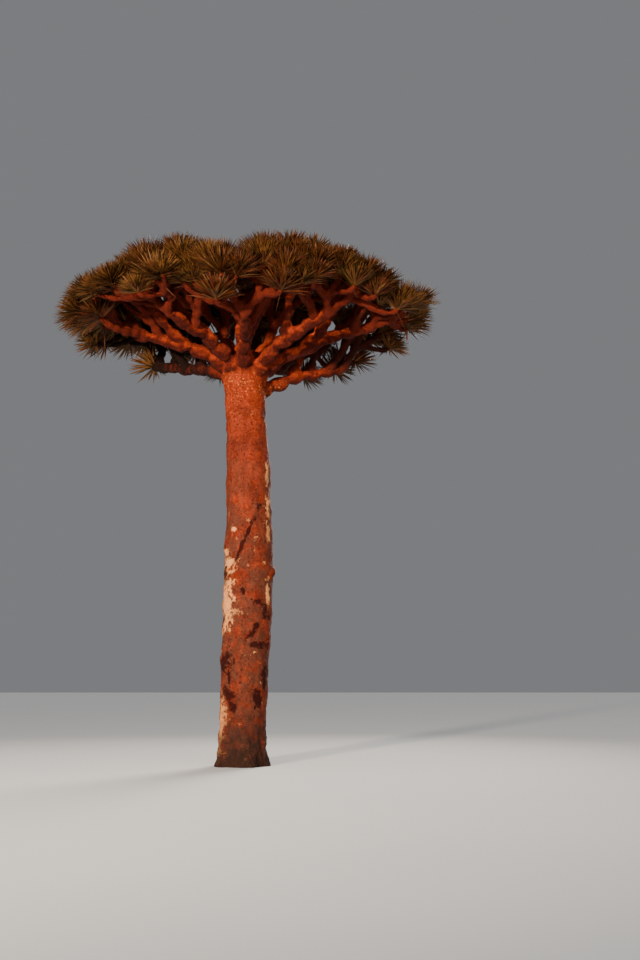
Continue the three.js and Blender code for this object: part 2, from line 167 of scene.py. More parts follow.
# Finer twigs: two leave each twig, to both sides of its own rosette
FINE_TURNS = (-66, 66)
FINE_TURN_VARIES = 30
FINE_SPREAD = 0.2
FINE_STARTS = (0.3, 0.5)
FINE_DROP = 0.17
FINE_HANG = 0.3
FINE_RADIUS = 0.037
FINE_TAPER = 0.84

# Sizes of the rosettes, as shares of the longest leaf
TWIG_SIZES = (0.76, 0.9)
FINE_SIZES = (0.62, 0.82)

# Spurs: short thick branches that rise from the back of each lower bough, further out than its riser
SPUR_STARTS = (0.7, 0.88)
SPUR_TURNS = (15, -17)
SPUR_REACHES = (1.56, 1.72)
SPUR_DROP = 0.05
SPUR_RADIUS = 0.056
SPUR_TAPER = 0.72

# Twigs that fill the far ends of the crown: side of the bough that carries each one, where it leaves the
# bough, and the place of its rosette
END_TWIGS = (
    ("right", 0.9, (2.26, -0.32, 5.96)),
    ("left", 0.85, (-1.82, -0.72, 5.68)),
    ("left_rear", 0.92, (-1.35, 0.92, 5.46)),
)
END_TWIG_SIZE = 0.82

# The camera stands low and far off, and looks up at the crown
CAMERA_PLACE = Vector((1.0014, -15.6, 1.0753))
CAMERA_RISE = 9.462
CAMERA_LENS = 45

# Openings through the rear of the crown, straight as seen from the camera: x and z where each one crosses
# the tree's middle plane, and its radius there
SKY_GAPS = (
    (-0.1, 5.6, 0.1), (0.44, 5.64, 0.12), (-0.18, 6.25, 0.075), (-0.15, 6.06, 0.08), (-1.2, 6.14, 0.1),
    (-0.49, 5.75, 0.085), (1.1, 5.76, 0.11), (1.69, 5.88, 0.12), (-1.1, 5.33, 0.12), (0.48, 5.06, 0.1),
    (0.81, 6.3, 0.06), (1.34, 5.51, 0.11), (0.67, 4.99, 0.1),
)
SKY_GAPS_FROM = -0.7

# The places along a twig and along a leaf that have to lie outside the openings
TWIG_PROBES = (0.4, 0.6, 0.8, 1)
LEAF_PROBES = (0.3, 0.6, 0.9)

# Limbs are strings of swollen joints. Their bark lies a little inside the planned radius
LIMB_SLENDERNESS = 0.9
TRUNK_SIDES = 72
TRUNK_RING_STEP = 0.02
RING_STEP = 0.018
LIMB_SIDES = 20
FEWEST_RINGS = 6
LENGTH_STEPS = 12
BOUGH_JOINT = 0.27
TWIG_JOINT = 0.15
JOINT_SWELL = 0.23
JOINT_ROUNDNESS = 0.7
ROOT_FLARE = 0.75
ROOT_FLARE_LENGTH = 0.19
FORK_FLARE = 0.3
LIMB_WANDER = 0.5
BENDS_PER_METRE = 3.5
MOST_DRIFT = 50

# Rounded ends of a limb: how far the last ring is pushed out, and its radius, as shares of the limb's radius
ROOT_CAP = (-0.35, 0.6)
TIP_CAP = (0.5, 0.62)

# Skins of the wood and of the twigs
WOOD_VOXEL = 0.0155
TWIG_VOXEL = 0.0135
SMOOTH_FACTOR = 0.5
SMOOTH_ROUNDS = 4
WOOD_TRIANGLES = 190000
TWIG_TRIANGLES = 190000

# Relief of the bark: the most that its coarse and its fine forms rise, then the size of each form
WOOD_RELIEF = (0.024, 0.006)
TWIG_RELIEF = (0.009, 0.004)
SWELLING_SIZE = 0.14
KNOB_SIZE = 0.075
KNOB_SHARE = 0.7
SCALE_SIZE = 0.06
FLAKE_SIZE = 0.028
FLAKE_SHARE = 0.5

# The trunk is smoother than the boughs, which grow lumpier from one height up
TRUNK_LUMPS = 0.6
LUMPS_FROM = 4.7
MOST_MORE_LUMPS = 0.6
LUMPS_WITHOUT_KNOBS = 0.5

# The foot of the trunk is rougher and furrowed
FOOT_ROUGHNESS = 1.8
FOOT_ROUGH_HEIGHT = 0.3
FURROW_DEPTH = 0.012
FURROW_FADE = 0.35
FURROW_WIDTH = 0.035
FURROW_LENGTH = 0.2
FLAT_CUT = 0.006

# Leaves: stations are places along a leaf and its width there
LEAVES = 138
LEAF_LENGTH = 0.46
LEAF_LENGTHS = (0.92, 1.03)
LEAF_HALF_WIDTH = 0.0132
LEAF_KEEL = 0.004
LEAF_STATIONS = ((0, 0.62), (0.3, 1), (0.68, 0.66))
LEAF_DROOP = 0.04
LEAF_DROOPS = (0.3, 1.3)
LEAF_TWIST = 0.5
LEAF_ROOT = 0.012
NEARLY_ALONG = 0.98

# Corners of the faces of one leaf: its foot, its three sides between two stations each, and its point
LEAF_CORNERS = 10
LEAF_FACES = (
    (0, 2, 1),
    (0, 1, 4, 3), (1, 2, 5, 4), (2, 0, 3, 5),
    (3, 4, 7, 6), (4, 5, 8, 7), (5, 3, 6, 8),
    (6, 7, 9), (7, 8, 9), (8, 6, 9),
)

# The leaves of a rosette open from its axis in a spiral, the inner ones shorter. The lowest slope of a leaf
# depends on its place in the crown, and the leaves of the front stand up most
ROSETTE_OPENING = 90
GOLDEN_ANGLE = math.pi * (3 - math.sqrt(5))
OPENING_VARIES = 0.05
TURN_VARIES = 0.12
SHORTEST_INNER_LEAF = 0.78
INNER_GROWTH = 3
CUSHION_DEPTH = 0.05
LOWEST_LEAF = 0.06
LOWEST_LEAF_AT_RIM = -0.6
LOWEST_LEAF_VARIES = 0.16
FRONT_LIFT = 0.42
LIFTED_SLOPES = (-0.24, 0.5)
HANGS_TOWARDS = 155

# Dry leaves, which hang under a rosette
MOST_DRY_LEAVES = 1
DRY_HANGS = (0.5, 2.2)
DRY_LENGTHS = (0.55, 0.85)
DRY_DROOPS = (0.02, 0.06)
DRY_TWIST = 1
DRY_INSET = 0.03


def crown_point(azimuth, distance, height=0.0):
    """A point of the crown at an azimuth and a distance from the tree's axis."""
    angle = math.radians(azimuth)
    return Vector((distance * math.cos(angle), CROWN_DEPTH * distance * math.sin(angle), height))


def heading(azimuth, slope):
    """A unit vector at an azimuth, sloping up from the level."""
    level = crown_point(azimuth, 1).normalized() * math.cos(math.radians(slope))
    return Vector((level.x, level.y, math.sin(math.radians(slope))))


def random_row(seed):
    """A seeded row of numbers from 0 to 1."""
    state = seed
    while True:
        state = (state * 1664525 + 1013904223) % 2 ** 32
        yield state / 2 ** 32


def reach_share(point):
    """The distance of a point from the tree's axis, as a share of the crown's reach in that direction."""
    return math.hypot(point.x, point.y / CROWN_DEPTH) / CROWN_REACH


def crown_height(point):
    """The height of the rosettes over a point."""
    share = min(reach_share(point), 1)
    dome = (1 - share ** CROWN_ROUNDNESS) ** CROWN_SHOULDER
    dip = CROWN_DIP * share ** 2 * math.cos(2 * math.atan2(point.y, point.x))
    height = CROWN_RIM + (CROWN_TOP - CROWN_RIM) * dome + dip
    for x, y, width, rise in CROWN_SWELLS:
        height += rise * math.exp(-((point.x - x) ** 2 + (point.y - y) ** 2) / width ** 2)
    return height


def bow_at(height):
    """How far the trunk's middle lies to the right at a height."""
    share = min(height / TRUNK_BOW_HEIGHT, 1) ** TRUNK_BOW_SKEW
    return TRUNK_BOW * math.sin(math.pi * share)


class Limb:
    """A tapering limb along a cubic curve."""

    def __init__(self, start, leave, end, arrive, radius, taper):
        self.points = (start, start + leave, end - arrive, end)
        self.radius = radius
        self.taper = taper

    def at(self, share):
        a, b, c, d = self.points
        rest = 1 - share
        return a * rest ** 3 + b * 3 * rest ** 2 * share + c * 3 * rest * share ** 2 + d * share ** 3

    def tangent(self, share):
        a, b, c, d = self.points
        rest = 1 - share
        slope = (b - a) * rest ** 2 + (c - b) * 2 * rest * share + (d - c) * share ** 2
        return slope.normalized()

    def length(self):
        stops = [self.at(i / LENGTH_STEPS) for i in range(LENGTH_STEPS + 1)]
        return sum((b - a).length for a, b in zip(stops, stops[1:]))


def lower_bough(azimuth, reach, tip, root, radius):
    return Limb(
        crown_point(azimuth, BOUGH_INSET, root - BOUGH_INSET),
        heading(azimuth, BOUGH_ROOT_SLOPE) * BOUGH_LEAVE * reach,
        crown_point(azimuth, reach, tip),
        heading(azimuth, BOUGH_TIP_SLOPE) * BOUGH_ARRIVE * reach,
        radius, BOUGH_TAPER,
    )


def rising_limb(start, end, azimuth, slopes, radius, taper):
    """A limb that rises between two points and leaves and arrives at the given slopes."""
    bend = RISING_BEND * (end - start).length
    leave, arrive = (heading(azimuth, slope) * bend for slope in slopes)
    return Limb(start, leave, end, arrive, radius, taper)


def riser(bough, azimuth):
    end = crown_point(azimuth, RISER_REACH)
    end.z = crown_height(end) - RISER_DROP
    slopes = (RISER_ROOT_SLOPE, RISER_TIP_SLOPE)
    return rising_limb(bough.at(RISER_START), end, azimuth, slopes, RISER_RADIUS, RISER_TAPER)


def upper_bough(azimuth, reach, tip):
    start = crown_point(azimuth, UPPER_INSET, UPPER_ROOT)
    slopes = (UPPER_ROOT_SLOPE, UPPER_TIP_SLOPE)
    return rising_limb(start, crown_point(azimuth, reach, tip), azimuth, slopes, UPPER_RADIUS, UPPER_TAPER)


def hang_share(place):
    """How far leaves and twigs may hang over the rim at a place: not at all in the middle of the crown, and
    furthest at the rim's lowest side."""
    turn = math.atan2(place.y, place.x) - math.radians(HANGS_TOWARDS)
    return min(reach_share(place), 1) ** 2 * (1 + math.cos(turn)) / 2


def rosette_axis(place):
    """Rosettes stand upright in the middle of the crown and lean out at its rim."""
    level = Vector((place.x, place.y, 0)).normalized()
    return (level * reach_share(place) ** 2 + UP).normalized()


def twig_to(fork, place, radius, taper):
    """A twig from a fork to a rosette, whose axis it meets."""
    axis = rosette_axis(place)
    neck = place - axis * HEAD_NECK
    length = (neck - fork).length
    leave = (neck - fork).normalized() * TWIG_LEAVE * length
    return Limb(fork, leave, place, axis * TWIG_ARRIVE * length, radius, taper)


def leafy_twig(fork, place, sizes, radius, taper):
    """A twig and the size of the rosette at its end. The smaller the rosette, the further out it stands,
    so that all leaves reach the same outline."""
    size = rng.uniform(*sizes)
    end = place + rosette_axis(place) * (LEAF_LENGTH * (1 - size))
    return twig_to(fork, end, radius, taper), size


def in_sky_gap(points):
    """True where any of the points lies in one of the openings."""
    for point in points:
        if point.y < SKY_GAPS_FROM:
            continue
        stretch = CAMERA_PLACE.y / (CAMERA_PLACE.y - point.y)
        seen = CAMERA_PLACE + (point - CAMERA_PLACE) * stretch
        if any(math.hypot(seen.x - x, seen.z - z) < radius for x, z, radius in SKY_GAPS):
            return True
    return False


def fine_twigs(twig, around):
    """The finer twigs of one twig, each with the size of its rosette."""
    limbs = []
    for turn, start in zip(FINE_TURNS, FINE_STARTS):
        azimuth = around + turn + FINE_TURN_VARIES * rng.uniform(-1, 1)
        place = twig.at(1) + crown_point(azimuth, FINE_SPREAD)
        place /= max(reach_share(place), 1)
        place.z = crown_height(place) - (FINE_DROP + FINE_HANG * hang_share(place)) * rng.random()
        limb, size = leafy_twig(twig.at(start), place, FINE_SIZES, FINE_RADIUS, FINE_TAPER)
        if not in_sky_gap([limb.at(share) for share in TWIG_PROBES]):
            limbs.append((limb, size))
    return limbs


def mass_limbs(limb, azimuth, reach, spread, heads, seed):
    """The stem of one mass, and its twigs: each with its rosette's size and its azimuth about the mass's
    middle."""
    row = random_row(seed)
    for _ in range(SEED_SKIP):
        next(row)
    start = limb.at(1)
    middle = crown_point(azimuth, reach)
    middle.z = crown_height(middle)
    fork = start.lerp(middle, STEM_SHARE)
    length = (fork - start).length
    stem = Limb(
        start, limb.tangent(1) * STEM_LEAVE * length,
        fork, (middle - start).normalized() * STEM_ARRIVE * length,
        STEM_RADIUS, STEM_TAPER,
    )
    turn = 360 * next(row)
    twigs = []
    for i in range(heads):
        around = turn + i * 360 / heads + HEAD_TURN * (next(row) - 0.5)
        place = crown_point(azimuth, reach) + crown_point(around, spread)
        place /= max(reach_share(place), 1)
        place.z = crown_height(place) + HEAD_SCATTER * (2 * next(row) - 1)
        next(row)
        twigs.append((*leafy_twig(fork, place, TWIG_SIZES, TWIG_RADIUS, TWIG_TAPER), around))
    return stem, twigs


# The plan of the whole tree
lower_limbs = [lower_bough(*row[1:]) for row in LOWER_BOUGHS]
upper_limbs = [upper_bough(*row[1:]) for row in UPPER_BOUGHS]
riser_azimuths = [row[1] + (RISER_SWING if i % 2 else -RISER_SWING) for i, row in enumerate(LOWER_BOUGHS)]
riser_limbs = [riser(limb, azimuth) for limb, azimuth in zip(lower_limbs, riser_azimuths)]

plans = []
for (side, azimuth, *_), limb, riser_limb, riser_azimuth in zip(
    LOWER_BOUGHS, lower_limbs, riser_limbs, riser_azimuths
):
    plans.append(("rim_" + side + "_a", limb, azimuth - RIM_SWING, RIM_REACH, RIM_SPREAD, 2))
    plans.append(("rim_" + side + "_b", limb, azimuth + RIM_SWING, RIM_REACH, RIM_SPREAD, 2))
    plans.append(("middle_" + side, riser_limb, riser_azimuth, MIDDLE_REACH, MIDDLE_SPREAD, 3))
for (side, azimuth, *_), limb in zip(UPPER_BOUGHS, upper_limbs):
    swing = UPPER_OUTER_SWING
    plans.append(("top_" + side + "_a", limb, azimuth - swing, UPPER_OUTER_REACH, UPPER_SPREAD, 2))
    plans.append(("top_" + side + "_b", limb, azimuth + swing, UPPER_OUTER_REACH, UPPER_SPREAD, 2))
    plans.append(("top_" + side + "_c", limb, azimuth, UPPER_INNER_REACH, UPPER_SPREAD, 2))

# Without its seed, the noise that bends the limbs would start from the clock
noise.seed_set(SEED)
rng = np.random.default_rng(SEED)
stems, twigs = [], []
for index, (_, *plan) in enumerate(plans):
    stem, mass_twigs = mass_limbs(*plan, SEED + SEED_STEP * index)
    stems.append(stem)
    for twig, size, around in mass_twigs:
        twigs.append((twig, size))
        twigs += fine_twigs(twig, around)

for (_, azimuth, *_), limb in zip(LOWER_BOUGHS, lower_limbs):
    for start, turn, reach in zip(SPUR_STARTS, SPUR_TURNS, SPUR_REACHES):
        place = crown_point(azimuth + turn, reach)
        place.z = crown_height(place) - SPUR_DROP
        spur, size = leafy_twig(limb.at(start), place, TWIG_SIZES, SPUR_RADIUS, SPUR_TAPER)
        twigs.append((spur, size))
        twigs += fine_twigs(spur, azimuth + turn)

bough_sides = [row[0] for row in LOWER_BOUGHS]
for side, start, place in END_TWIGS:
    fork = lower_limbs[bough_sides.index(side)].at(start)
    twigs.append((twig_to(fork, Vector(place), SPUR_RADIUS, SPUR_TAPER), END_TWIG_SIZE))
rosettes = [(twig.at(1), size) for twig, size in twigs]


def closed_tube(rings):
    """Vertices and faces of a closed tube through rings of points."""
    sides = len(rings[0])
    count = len(rings)
    vertices = np.concatenate(rings)
    caps = np.stack([rings[0].mean(0), rings[-1].mean(0)])
    index = np.arange(sides)
    after = (index + 1) % sides
    faces = []
    for i in range(count - 1):
        low, high = i * sides, (i + 1) * sides
        faces.append(np.stack([low + index, low + after, high + after, high + index], 1))
    quads = np.concatenate(faces)
    first, last = count * sides, count * sides + 1
    bottom = np.stack([after, index, np.full(sides, first)], 1)
    top = np.stack([(count - 1) * sides + index, (count - 1) * sides + after, np.full(sides, last)], 1)
    return np.concatenate([vertices, caps]), [*quads.tolist(), *bottom.tolist(), *top.tolist()]


def limb_tube(limb, joint, flare):
    """A limb as a knobbly tube that wanders a little off its curve."""
    length = limb.length()
    count = max(FEWEST_RINGS, round(length / RING_STEP))
    guide = UP.cross(limb.tangent(0.5)).normalized()
    angles = np.linspace(0, 2 * math.pi, LIMB_SIDES, endpoint=False)
    phase = 2 * math.pi * rng.random()
    drift = Vector(rng.uniform(0, MOST_DRIFT, 3))
    rings = []
    for i in range(-1, count + 2):
        share = min(max(i / count, 0), 1)
        tangent = limb.tangent(share)
        across = tangent.cross(guide).normalized()
        swell = abs(math.sin(math.pi * share * length / joint + phase))
        thickness = LIMB_SLENDERNESS * limb.radius * (1 - (1 - limb.taper) * share)
        thickness *= 1 - JOINT_SWELL + 2 * JOINT_SWELL * swell ** JOINT_ROUNDNESS
        thickness *= 1 + flare * math.exp(-share * length / ROOT_FLARE_LENGTH)
        push = 0.0
        if i == -1:
            push, thickness = (part * thickness for part in ROOT_CAP)
        if i == count + 1:
            push, thickness = (part * thickness for part in TIP_CAP)
        most = math.sin(math.pi * share) * LIMB_WANDER * limb.radius
        wander = noise.noise_vector(drift + limb.at(share) * BENDS_PER_METRE) * most
        centre = limb.at(share) + tangent * push + wander
        ring = np.outer(np.cos(angles), guide) + np.outer(np.sin(angles), across)
        rings.append(np.array(centre) + thickness * ring)
    return closed_tube(rings)


def trunk_tube():
    """The trunk as a tube with its bulges, creases and root lobes."""
    heights = np.arange(0, TRUNK_CROWN, TRUNK_RING_STEP)
    known = np.array(TRUNK_PROFILE + ((TRUNK_CROWN, TRUNK_CROWN_RADIUS),))
    angles = np.linspace(0, 2 * math.pi, TRUNK_SIDES, endpoint=False)
    rings = []
    for height in heights:
        radius = np.full(TRUNK_SIDES, np.interp(height, known[:, 0], known[:, 1]))
        for azimuth, middle, width, rise in TRUNK_BULGES:
            around = (angles - math.radians(azimuth) + math.pi) % (2 * math.pi) - math.pi
            away = (around * radius) ** 2 + (height - middle) ** 2
            radius = radius + rise * np.exp(-away / width ** 2)
        for middle, width, depth in TRUNK_CREASES:
            tilt = CREASE_TILT * np.sin(angles + CREASE_TURN * middle)
            radius = radius - depth * np.exp(-((height - middle - tilt) / width) ** 2)
        swell = 1 + ROOT_LOBE_DEPTH * math.exp(-height / ROOT_LOBE_HEIGHT) * np.cos(ROOT_LOBES * angles)
        rings.append(np.stack([
            radius * swell * np.cos(angles) + bow_at(height), radius * swell * np.sin(angles),
            np.full(TRUNK_SIDES, height),
        ], 1))
    return closed_tube(rings)


def new_object(name, mesh):
    piece = bpy.data.objects.new(name, mesh)
    bpy.context.scene.collection.objects.link(piece)
    return piece


def joined_mesh(name, parts):
    """One mesh from several pairs of vertices and faces."""
    vertices, faces, offset = [], [], 0
    for points, polygons in parts:
        vertices.append(points)
        faces += [[corner + offset for corner in polygon] for polygon in polygons]
        offset += len(points)
    mesh = bpy.data.meshes.new(name)
    mesh.from_pydata(np.concatenate(vertices).tolist(), [], faces)
    return mesh


def apply_modifiers(piece):
    graph = bpy.context.evaluated_depsgraph_get()
    mesh = bpy.data.meshes.new_from_object(piece.evaluated_get(graph))
    piece.modifiers.clear()
    piece.data = mesh


def grown_together(name, parts, voxel):
    """Closed tubes merged into one smooth skin."""
    piece = new_object(name, joined_mesh(name, parts))
    remesh = piece.modifiers.new("merge", "REMESH")
    remesh.mode = "VOXEL"
    remesh.voxel_size = voxel
    smooth = piece.modifiers.new("smooth", "SMOOTH")
    smooth.factor = SMOOTH_FACTOR
    smooth.iterations = SMOOTH_ROUNDS
    apply_modifiers(piece)
    return piece


def relief(spot, coarse, fine):
    """How far the bark stands out at a place: swellings, furrows at the foot, knobs, scales and flakes."""
    rough = 1 + FOOT_ROUGHNESS * math.exp(-spot.z / FOOT_ROUGH_HEIGHT)
    lumpy = TRUNK_LUMPS + min(max(spot.z - LUMPS_FROM, 0), MOST_MORE_LUMPS)
    furrow = Vector((spot.x / FURROW_WIDTH, spot.y / FURROW_WIDTH, spot.z / FURROW_LENGTH))
    rise = coarse * lumpy * noise.noise(spot / SWELLING_SIZE)
    rise += FURROW_DEPTH * math.exp(-spot.z / FURROW_FADE) * noise.noise(furrow)
    rise += coarse * KNOB_SHARE * (lumpy - LUMPS_WITHOUT_KNOBS) * noise.noise(spot / KNOB_SIZE)
    rise += fine * rough * noise.noise(spot / SCALE_SIZE)
    rise += FLAKE_SHARE * fine * rough * noise.noise(spot / FLAKE_SIZE)
    return rise


def carve_bark(piece, coarse, fine):
    """Moves the skin in and out by the bark's relief. The cut at the ground stays flat."""
    mesh = piece.data
    count = len(mesh.vertices)
    place, normal = np.empty(count * 3), np.empty(count * 3)
    mesh.vertices.foreach_get("co", place)
    mesh.vertex_normals.foreach_get("vector", normal)
    place, normal = place.reshape(-1, 3), normal.reshape(-1, 3)
    rise = np.array([relief(Vector(point), coarse, fine) for point in place])
    moved = place + normal * rise[:, None]
    moved[place[:, 2] < FLAT_CUT, 2] = 0
    moved[:, 2] = np.maximum(moved[:, 2], 0)
    mesh.vertices.foreach_set("co", moved.ravel())
    mesh.polygons.foreach_set("use_smooth", np.ones(len(mesh.polygons), bool))
    mesh.update()


def thin_out(piece, triangles):
    """Merges the faces of flatter places until so many triangles are left."""
    count = sum(len(face.vertices) - 2 for face in piece.data.polygons)
    merge = piece.modifiers.new("thin", "DECIMATE")
    merge.ratio = min(triangles / count, 1)
    apply_modifiers(piece)
    place = np.empty(len(piece.data.vertices) * 3)
    piece.data.vertices.foreach_get("co", place)
    place[2::3] = np.maximum(place[2::3], 0)
    piece.data.vertices.foreach_set("co", place)


def rosette_leaves(place, size):
    """Root, direction, spoke and length of each leaf of a rosette, spread evenly round its axis.
    Leaves that would hang below the lowest slope are lifted to it."""
    axis = rosette_axis(place)
    floor_rise = LOWEST_LEAF + (LOWEST_LEAF_AT_RIM - LOWEST_LEAF) * hang_share(place)
    floor_rise += FRONT_LIFT * min(max(-place.y, 0), 1) + LOWEST_LEAF_VARIES * rng.uniform(-1, 1)
    lowest = math.cos(math.radians(ROSETTE_OPENING))
    first = 2 * math.pi * rng.random()
    side = axis.orthogonal().normalized()
    other = axis.cross(side)
    leaves = []
    for i in range(LEAVES):
        level = (i + 0.5) / LEAVES
        cosine = 1 - level * (1 - lowest) + rng.uniform(-OPENING_VARIES, OPENING_VARIES)
        cosine = min(max(cosine, -1), 1)
        angle = first + i * GOLDEN_ANGLE + rng.uniform(-TURN_VARIES, TURN_VARIES)
        spoke = side * math.cos(angle) + other * math.sin(angle)
        direction = axis * cosine + spoke * math.sqrt(1 - cosine ** 2)
        if direction.z < floor_rise:
            direction.z = floor_rise + rng.uniform(*LIFTED_SLOPES)
            direction.normalize()
        grown = SHORTEST_INNER_LEAF + (1 - SHORTEST_INNER_LEAF) * min(1, INNER_GROWTH * level)
        length = size * LEAF_LENGTH * grown * rng.uniform(*LEAF_LENGTHS)
        root = place + axis * (CUSHION_DEPTH * (cosine - 0.5)) + direction * LEAF_ROOT
        if not in_sky_gap([root + direction * (length * share) for share in LEAF_PROBES]):
            leaves.append((root, direction, spoke, length))
    return leaves


def leaf_points(root, direction, spoke, length, droop, twist):
    """The 10 corners of one leaf: three at each station and one at its point."""
    upright = spoke if abs(direction.dot(spoke)) < NEARLY_ALONG else UP
    broad = Quaternion(direction, twist) @ direction.cross(upright)
    broad.normalize()
    face = broad.cross(direction)
    corners = []
    for share, width in LEAF_STATIONS:
        middle = root + direction * (length * share) - UP * (droop * share ** 2)
        half = broad * (LEAF_HALF_WIDTH * width)
        corners += [middle - half, middle + half, middle + face * LEAF_KEEL]
    return [*corners, root + direction * length - UP * droop]


def leaf_piece(name, leaves, material):
    """All leaves of one colour as one piece."""
    corners = np.array([corner for leaf in leaves for corner in leaf_points(*leaf)])
    faces = [
        [corner + LEAF_CORNERS * i for corner in face]
        for i in range(len(leaves)) for face in LEAF_FACES
    ]
    mesh = bpy.data.meshes.new(name)
    mesh.from_pydata(corners.tolist(), [], faces)
    piece = new_object(name, mesh)
    piece.data.materials.append(material)
    return piece


class Surface:
    """A procedural material: small helpers that add nodes and join them."""

    def __init__(self, name, roughness, specular):
        self.material = bpy.data.materials.new(name)
        self.material.use_nodes = True
        self.tree = self.material.node_tree
        self.shader = self.tree.nodes["Principled BSDF"]
        self.shader.inputs["Roughness"].default_value = roughness
        self.shader.inputs["Specular IOR Level"].default_value = specular
        self.place = self.tree.nodes.new("ShaderNodeTexCoord").outputs["Object"]

    def add(self, kind, output=0, **values):
        """Adds a node and gives one of its outputs. A value named _0 goes into the first input, and so on."""
        node = self.tree.nodes.new(kind)
        for key, value in values.items():
            if key in ("operation", "data_type", "feature"):
                setattr(node, key, value)
                continue
            socket = node.inputs[int(key[1:]) if key[0] == "_" else key]
            if isinstance(value, bpy.types.NodeSocket):
                self.tree.links.new(value, socket)
            else:
                socket.default_value = value
        return node.outputs[output]

    def math(self, operation, a, b=0.0):
        return self.add("ShaderNodeMath", operation=operation, _0=a, _1=b)

    def times(self, first, *others):
        for other in others:
            first = self.math("MULTIPLY", first, other)
        return first

    def split(self, vector, axis):
        node = self.tree.nodes.new("ShaderNodeSeparateXYZ")
        self.tree.links.new(vector, node.inputs[0])
        return node.outputs[axis]

    def noise(self, scale, detail, roughness=0.55, output=0, place=None):
        return self.add(
            "ShaderNodeTexNoise", output,
            Vector=place or self.place, Scale=scale, Detail=detail, Roughness=roughness,
        )

    def step(self, value, low, high):
        return self.add("ShaderNodeMapRange", _0=value, _1=low, _2=high)

    def patches(self, name, place=None):
        """Patches of noise, from 0 outside to 1 at their core."""
        scale, detail, roughness, edge, core = PATCHES[name]
        return self.step(self.noise(scale, detail, roughness, place=place), edge, core)

    def band(self, name):
        """A band across the tree, from 0 where it starts to 1 where it is full."""
        axis, start, full = BANDS[name]
        return self.step(self.split(self.place, axis), start, full)

    def mix(self, share, a, b):
        return self.add("ShaderNodeMix", 2, data_type="RGBA", _0=share, _6=a, _7=b)

    def marked(self, colour, name, *where):
        """A colour with one kind of mark laid over it."""
        over, cover = MARKS[name]
        return self.mix(self.times(*where, cover), colour, over)

    def link(self, value, socket):
        self.tree.links.new(value, self.shader.inputs[socket])

    def bump(self, height, strength, distance):
        return self.add("ShaderNodeBump", Strength=strength, Distance=distance, Height=height)


# Colours of the bark
TERRACOTTA = (0.39, 0.043, 0.011, 1)
DEEP_RUST = (0.15, 0.017, 0.006, 1)
PALE_ORANGE = (0.58, 0.1, 0.028, 1)
# Painted sunlight on the right bough
PAINTED_SUNLIGHT_ORANGE = (0.85, 0.105, 0.03, 1)
WEATHERED = (0.115, 0.038, 0.021, 1)
LICHEN = (1, 0.42, 0.15, 1)
YELLOW_ORANGE = (0.85, 0.33, 0.07, 1)
RESIN = (0.032, 0.0035, 0.0025, 1)
DARK_BROWN = (0.032, 0.016, 0.011, 1)
# Painted shade under the limbs
UNDERSIDE_SHADE_RED = (0.03, 0.0035, 0.0022, 1)
# Painted shade on the rear limbs
PAINTED_SHADE_BLACK = (0.009, 0.0035, 0.0023, 1)
PIT_RED = (0.06, 0.008, 0.005, 1)
# Twig bark: partly their own browner bark, partly painted shade of the crown's inside
TWIG_RUST_AND_SHADE = (0.105, 0.0125, 0.005, 1)

# Marks on the bark: colour, and the most that they cover of the bark below
MARKS = {
    "pale": (PALE_ORANGE, 0.6),
    "grain": (DEEP_RUST, 0.8),
    "cracks": (DEEP_RUST, 0.5),
    "hollows": (DEEP_RUST, 0.6),
    # Painted shade on the undersides of the limbs
    "painted_underside_shade": (UNDERSIDE_SHADE_RED, 0.9),
    # Painted sunlight on the tops of the right bough
    "painted_sunlight": (PAINTED_SUNLIGHT_ORANGE, 0.7),
    "worn": (WEATHERED, 0.9),
    "streaks": (DEEP_RUST, 0.5),
    "pits": (PIT_RED, 0.85),
    "lichen": (LICHEN, 0.8),
    "specks": (YELLOW_ORANGE, 0.7),
    "foot": (DARK_BROWN, 0.93),
    "scars": (RESIN, 0.96),
}
# How far twig bark goes to the darker rust, partly its own colour and partly painted shade
TWIG_SHADE = 0.85

# Patches of noise on the bark: scale, detail, roughness, and the noise at their edge and at their core
PATCHES = {
    "terracotta": (3.2, 5, 0.6, 0.36, 0.62),
    "grain": (75, 4, 0.7, 0.5, 0.32),
    "hollows": (13, 5, 0.6, 0.47, 0.36),
    "worn": (5, 6, 0.65, 0.35, 0.55),
    "streaks": (21, 5, 0.65, 0.5, 0.36),
    "pits": (42, 2, 0.5, 0.42, 0.36),
    "pitted": (3.5, 3, 0.6, 0.36, 0.54),
    "spots": (8, 7, 0.72, 0.61, 0.66),
    "specks": (34, 4, 0.65, 0.59, 0.66),
    "weeping": (7, 5, 0.7, 0.66, 0.7),
}

# Bands across the tree: axis, where each one starts and where it is full
BANDS = {
    # below_crown, left, rear, far_rear and inner_crown bound painted shade; right, boughs, not_rear and
    # not_front bound painted sunlight
    "below_crown": ("Z", 5.2, 4.95),
    "left": ("X", -0.25, -0.4),
    "rear": ("Y", 0.12, 0.28),
    "far_rear": ("Y", 0.1, 0.6),
    "inner_crown": ("Z", 5.25, 5.45),
    "right": ("X", 0.45, 0.9),
    "boughs": ("Z", 5.15, 5.35),
    "not_rear": ("Y", 0.2, 0.0),
    "not_front": ("Y", -0.45, -0.3),
    "worn": ("Z", 4.9, 3.0),
    "front": ("Y", -0.02, -0.12),
    "spots": ("Z", 3.6, 2.8),
    "specks_from": ("Z", 4.35, 4.95),
    "specks_up_to": ("Z", 5.12, 5.0),
    "weeping": ("Z", 3.4, 2.4),
}

# Fine orange grains, which stand out, and cracks between scales whose edges are stirred by noise
PALE_GRAINS = (26, 7, 0.72)
PALE_EDGE = (0.54, 0.7)
STIR = (30, 3, 0.6)
STIR_SIZE = 0.05
BARK_SCALES = 48
CRACK_EDGE = (0.09, 0.0)
CRACK_DEPTH = 0.45
HOLLOW_DEPTH = 0.6

